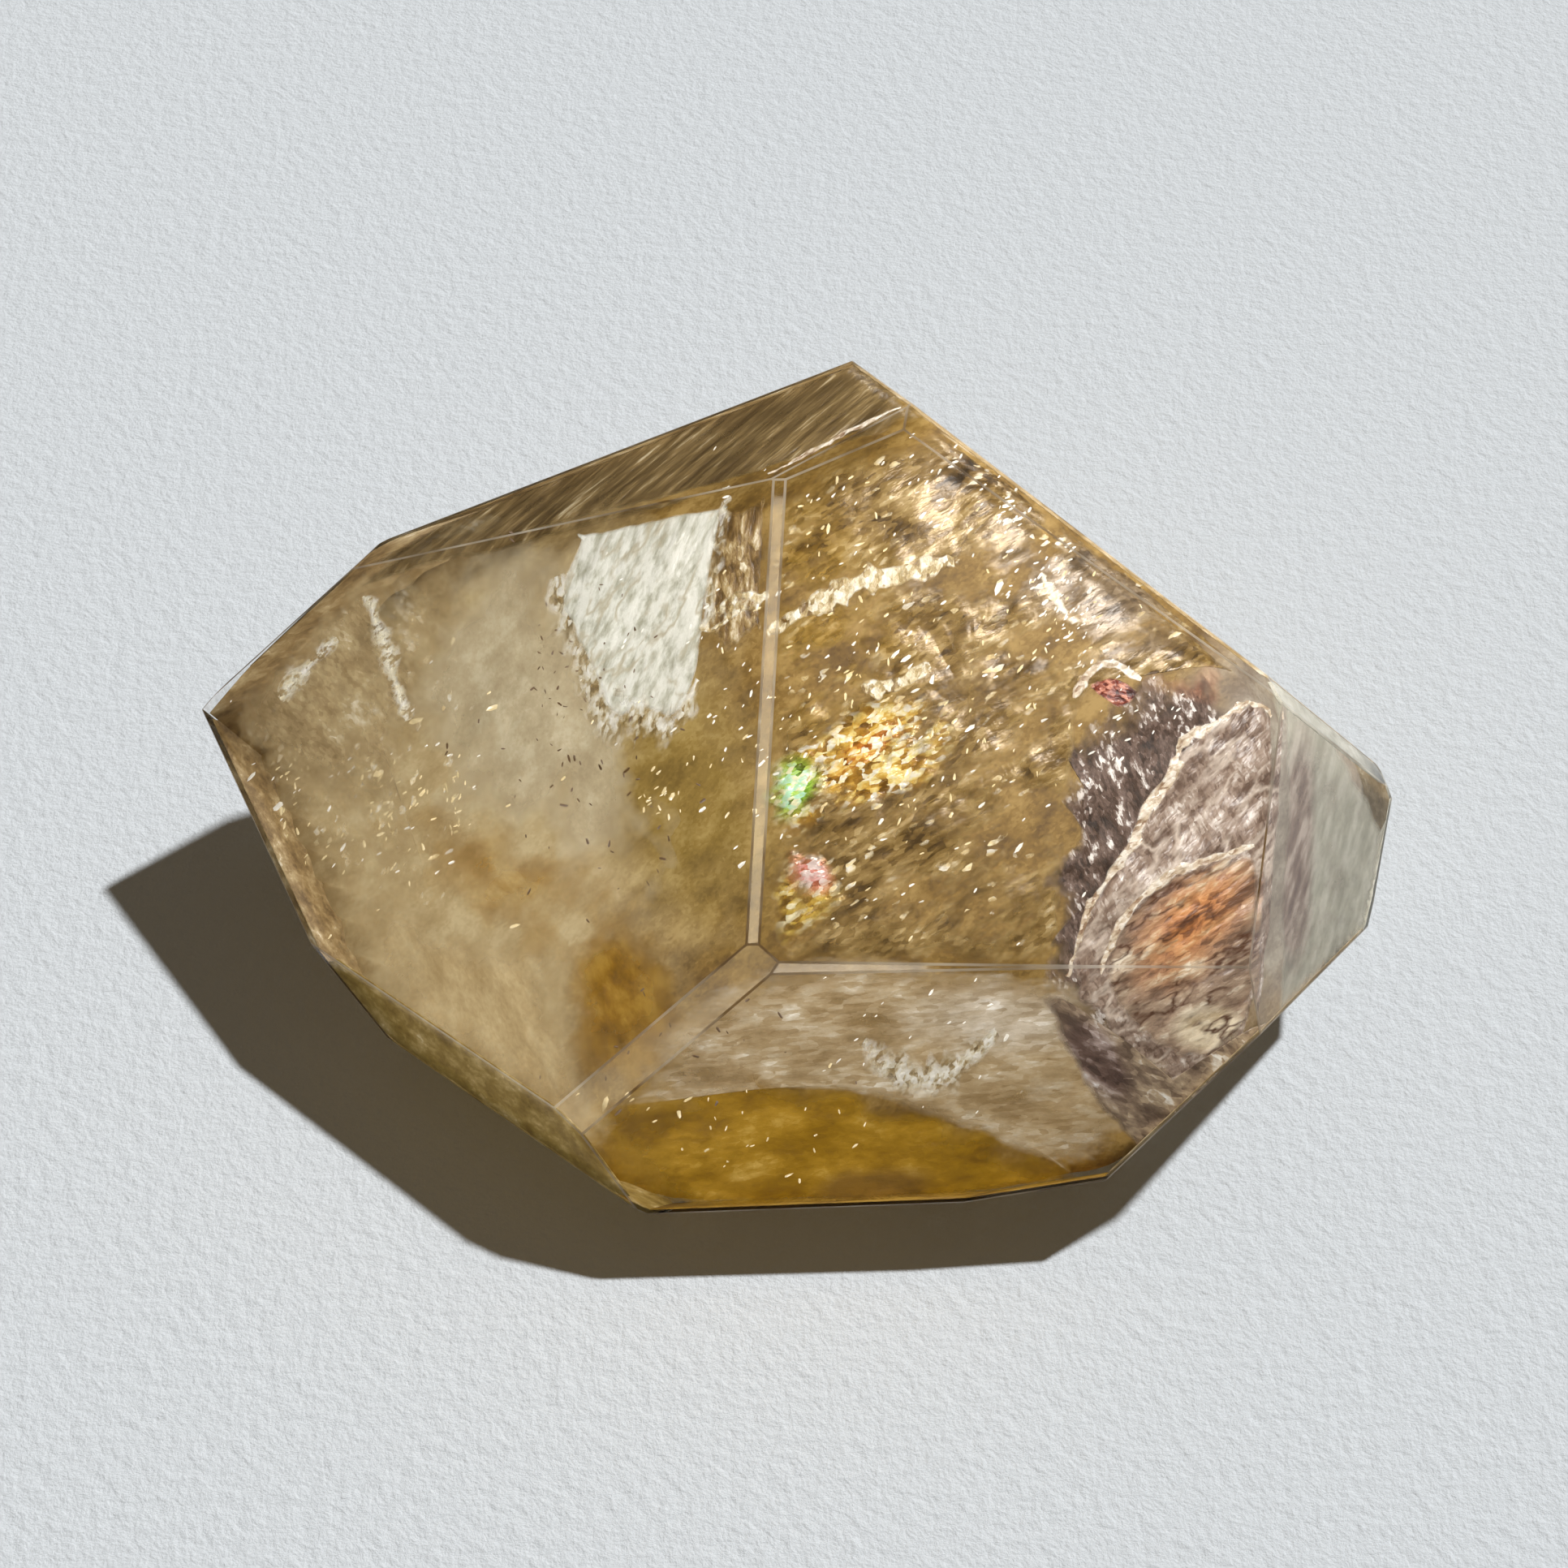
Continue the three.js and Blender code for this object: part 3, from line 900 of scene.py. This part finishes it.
        "grain": (0.9, 5, 50, 4, 0.62), "cells": (0.15, 5, -72, 0.24), "fade": 0.04, "bump": 0.9,
        "tones": [(0.34, 104, 84, 72), (0.46, 138, 118, 104), (0.58, 168, 150, 136), (0.7, 232, 224, 216)],
        "curls": [(1.1, 6, 50, 16, (206, 192, 178))],
    },
    "rustFace": {
        "outline": [
            (14.3, -11.1), (15.2, -9.2), (17.2, -7.4), (19.5, -6.6), (21.6, -6.2), (21.6, -9.2),
            (21.2, -12.6), (19.5, -14.2), (16.6, -13.7), (14.8, -12.2)],
        "depth": 1.1, "waves": [(0.9, 0.18, 4, 40, True), (0.4, 0.06, 3, 40, True)], "seed": 91, "step": 0.12,
        "ragged": 0.03, "grain": (0.8, 4.5, 36, 5), "cells": (0.2, 4, 36, 0.16), "fade": 0.08, "bump": 0.9,
        "tones": [(0.34, 120, 100, 84), (0.48, 156, 134, 114), (0.6, 184, 164, 142), (0.72, 236, 226, 206)],
        "curls": [(0.8, 5, 36, 14, (84, 52, 34))],
        "spots": [
            (18.6, -9, 4.4, 2.2, 38, 0.8,
             [(0.34, 124, 76, 42), (0.43, 192, 128, 76), (0.52, 220, 156, 96), (0.62, 232, 198, 152),
              (0.72, 246, 234, 210)]),
            (19.5, -13.2, 2, 0.9, 0, 0.4, [(0.34, 190, 170, 136), (0.6, 232, 220, 194)])],
    },
    "streakVeil": {
        "outline": [(-24, 10), (-11, 14.5), (-3, 17), (3.5, 19.5), (6, 14), (-1, 10.8), (-10.8, 10.2)],
        "depth": 1.2, "waves": [(1.4, 0.15, 4, 48)], "seed": 101, "grain": (0.5, 8, 48, 4),
        "cells": (0.25, 8, 48, 0.12), "clear": (0.2, 4), "fade": 0.1,
        "tones": [(0.34, 84, 66, 36), (0.5, 114, 94, 58), (0.62, 146, 124, 82), (0.74, 216, 202, 168)],
    },
    "bevelVeil": {
        "outline": [(6, 17), (13, 12), (20, 7), (25, 2.5), (23, 2), (17, 6), (10, 10.5), (5, 14)],
        "depth": 0.7, "seed": 111, "grain": (0.8, 2.5, -35, 5), "fade": 0.2, "clear": (0.15, 4),
        "tones": [(0.34, 138, 112, 70), (0.5, 190, 166, 120), (0.66, 230, 214, 178)],
    },
    "wedgeVeil": {
        "outline": [
            (11.6, -12), (15.1, -13.6), (18, -15.2), (21, -15), (23.5, -12), (22, -17), (18.6, -18.6),
            (15.6, -17), (13, -15)],
        "depth": 0.9, "seed": 118, "grain": (1, 4, -38, 4), "cells": (0.25, 5, -38, 0.2), "fade": 0.1,
        "tones": [(0.32, 88, 72, 60), (0.46, 128, 110, 92), (0.6, 176, 158, 132), (0.72, 236, 236, 230)],
        "spots": [
            (14, -14.3, 2.6, 1.2, -40, 0.5,
             [(0.34, 70, 54, 48), (0.5, 100, 80, 72), (0.66, 168, 152, 146), (0.74, 232, 232, 236)])],
    },
    "redPit": {
        "outline": [(13.9, 1), (15, 1.4), (16.2, 0.6), (15.2, 0)], "depth": 1.1, "seed": 119, "step": 0.06,
        "grain": (0.3, 2, -20, 3), "cells": (0.2, 1.5, -20, 0.5),
        "tones": [(0.3, 58, 14, 8), (0.5, 118, 42, 26), (0.7, 214, 150, 128)],
    },
    "endVeil": {
        "outline": [(22.8, 2), (26, 1), (30, -2), (30, -6), (27, -10), (23, -13), (22.6, -8), (23, -3)],
        "depth": 0.8, "seed": 121, "grain": (0.6, 12, 86, 3, 0.5), "fade": 0.1, "clear": (0.1, 2),
        "cover": 0.85, "bump": 0,
        "tones": [(0.36, 168, 166, 150), (0.5, 186, 184, 168), (0.64, 204, 202, 188)],
        "spots": [
            (23.6, -5, 1.2, 6, -5, 0.4, [(0.36, 118, 98, 90), (0.5, 150, 132, 120), (0.64, 196, 182, 170)])],
    },
}
for name, look in veils.items():
    addVeil(name, {**plainVeil, **look}, veilPaint(name, look))
print("veils placed:", len(veils))

bandFinishes = {
    "creamCrinkle": {
        "grain": (0.5, 2, 80, 5, 0.65), "cells": (0.22, 2, 75, 0.5), "patch": (0.9, 1.5, 60, 4),
        "clear": (0.32, 8), "fade": 0.25, "bump": 0.9, "rough": 0.3,
        "tones": [(0.25, 120, 92, 46), (0.42, 190, 168, 118), (0.54, 232, 220, 186), (0.72, 255, 252, 240)],
    },
    # Crinkled near-white cells: painted glints.
    "glintCrinkle": {
        "grain": (0.5, 3.5, 66, 6, 0.68), "cells": (0.2, 3.5, 66, 0.4), "patch": (1.4, 2, 70, 5, 0.65),
        "clear": (0.32, 4), "fade": 0.8, "bump": 0.8, "rough": 0.3,
        "tones": [(0.3, 110, 88, 46), (0.42, 172, 150, 104), (0.5, 228, 222, 198), (0.62, 255, 255, 248)],
    },
    # Painted sun glints: near white, broken up into crinkles.
    "sunFlash": {
        "grain": (0.5, 2.5, 30, 5), "cells": (0.2, 3, 30, 0.3), "patch": (0.3, 2.2, 40, 4),
        "clear": (0.42, 9), "fade": 0.8, "bump": 0.3, "rough": 0.4,
        "tones": [(0.25, 240, 228, 190), (0.5, 255, 252, 232), (0.8, 255, 255, 255)],
    },
    "paleLine": {
        "grain": (0.4, 2, 40, 3), "cells": (0.18, 2, 40, 0.5), "fade": 0.3,
        "tones": [(0.25, 150, 122, 96), (0.45, 206, 188, 162), (0.7, 246, 240, 228)],
    },
}
bandPaints = {name: veilPaint(name, look) for name, look in bandFinishes.items()}
plainBand = {
    "step": 0.08, "ragged": 0.5, "waves": [(1, 0.1, 1.5, 30), (0.4, 0.05, 2, 60, True)],
}
bands = {  # finish; width, depth under the crown and sway in mm; path
    # Crinkled painted glints round the painted silver reflection.
    "silverGlintFringe": (
        "glintCrinkle", 2.6, 1.1, 0.12,
        [(-11.3, 8), (-10.9, 5.6), (-9.7, 3), (-8.6, 0.8), (-7.2, 0.6), (-5.6, 0), (-4.5, 1.8)]),
    "silverGlintEdge": ("glintCrinkle", 0.9, 1.3, 0.12, [(-3, 10.3), (-3.4, 8.6), (-3.8, 6), (-4.2, 4)]),
    "creamBandLeft": ("creamCrinkle", 0.9, 1.4, 0.12, [(-4.3, 4.1), (-2.6, 5), (-1.1, 5.3)]),
    "creamBandRight": (
        "creamCrinkle", 1.2, 1.5, 0.12,
        [(-1.2, 3.6), (0.8, 4.6), (2.3, 5.5), (4, 5.9), (5.8, 6.3), (7.6, 6.6)]),
    "whitePatch": ("creamCrinkle", 1, 1.5, 0.12, [(3.2, 0.8), (4.6, 1.2), (6.4, 2)]),
    # Painted sun glints: a flash, a star and a streak of them.
    "brightFlash": ("sunFlash", 0.8, 1.4, 0.12, [(11.7, 6.2), (12.5, 5), (13.4, 3.8)]),
    "starFlash": ("sunFlash", 1.6, 0.3, 0.12, [(-25.6, 4.8), (-24.2, 5.9), (-22.6, 6.9)]),
    "glintStreak": ("sunFlash", 1.2, 0.3, 0.12, [(-21.2, 8.8), (-20, 5.8), (-18.8, 2.4)]),
    # A painted highlight just under the ledge's upper edge.
    "ledgeHighlight": ("paleLine", 0.35, 0.3, 0.12, [(-1.1, 10.2), (0.8, 11.3), (2.8, 12.4), (5.2, 13.6)]),
    "pitBorder": ("paleLine", 0.5, 1.15, 0.12, [(13.3, 0.4), (13.8, 1.4), (15, 2), (16.4, 1.4)]),
    "outerChevron": (
        "paleLine", 0.6, 1.35, 0.12,
        [(12.7, -11.2), (13.6, -9), (14.8, -7.2), (17.6, -2.9), (18.3, -1.5), (20, -0.3), (21.5, 0.6),
         (22.6, 0.2)]),
    "innerChevron": (
        "paleLine", 0.45, 1, 0.12, [(14.2, -11.2), (15.2, -9.2), (17.2, -7.4), (19.5, -6.5), (21.5, -6)]),
    # A crescent of painted glints.
    "glintCrescent": (
        "glintCrinkle", 1.8, 1, 0.05, [(3.2, -13.8), (4.5, -14.7), (6.4, -14.9), (8, -14.4), (9.4, -13.4)]),
}
for number, (name, (paint, width, depth, sway, path)) in enumerate(bands.items()):
    band = {"width": width, "depth": depth, "sway": sway, "path": path, "seed": 200 + 10 * number}
    addBand(name, {**plainBand, **band}, bandPaints[paint])
print("bands placed:", len(bands))

plainFlakes = {  # larger: how far some outgrow their size; thick: share of the size
    "depth": (0.6, 1.8), "glint": (0.18, -0.228, 0.957), "size": (0.05, 0.1), "larger": 0.4, "stretch": 3,
    "uneven": 0.3, "thick": 0.1, "turning": 0.3, "heading": 20, "metal": 0, "rough": 0.25,
}
flakes = {
    "whiteFlakes": {
        "spots": [
            (12, 6, 1, 0.8, 40), (13.2, 4.2, 0.4, 0.8, 30), (10.3, 8.9, 0.4, 0.5, 16), (8, 10, 3, 1.2, 40),
            (5, 2, 4, 4, 60), (15, 0, 2, 1.5, 40), (-8, 4, 2, 3, 10), (-28, 5.6, 0.2, 0.2, 6),
            (-2, 0, 2, 5, 40), (6, -8, 5, 3, 20), (-22, 0, 4, 3, 50), (6, -14, 4, 0.8, 20)],
        "scatter": 0.16, "seed": 301, "colour": (250, 248, 238),
    },
    "darkSpecks": {
        "spots": [(-9, -1, 2.5, 3.5, 70), (-12, 4, 2, 2, 20), (-5, -14, 4, 1, 20)], "depth": (0.6, 1.3),
        "scatter": 0.3, "turning": 1, "heading": 0, "seed": 303, "colour": (96, 70, 40), "rough": 0.5,
    },
    "goldFlakes": {
        "spots": [
            (4, 7, 3, 2, 30), (12, 4, 2, 2, 30), (4, 0, 4, 4, 50), (-20, -1, 5, 4, 60), (-4, -17, 6, 1, 50),
            (3, -3, 4, 1.5, 40), (-19.2, -0.9, 0.7, 1, 24), (-16.4, -1.5, 0.3, 1.2, 20),
            (-6.1, -3.1, 0.6, 0.8, 20), (-24.8, 1, 0.5, 1.5, 20)],
        "glint": (0.14, -0.236, 0.96), "scatter": 0.18, "size": (0.05, 0.11), "turning": 0.5, "seed": 302,
        "colour": (244, 226, 176), "rough": 0.3,
    },
}


def flakePaint(name, look):
    paint = Paint(name)
    darker = [part * 0.9 for part in look["colour"]]
    shade = paint.cloud(0.4, rough=0.55).ramp([(0.3, *look["colour"]), (0.7, *darker)])
    return paint.finish({"Base Color": shade, "Metallic": look["metal"], "Roughness": look["rough"]})


for name, look in flakes.items():
    flake = {**plainFlakes, **look}
    addFlakes(name, flake, flakePaint(name, flake))
print("flakes placed:", len(flakes))
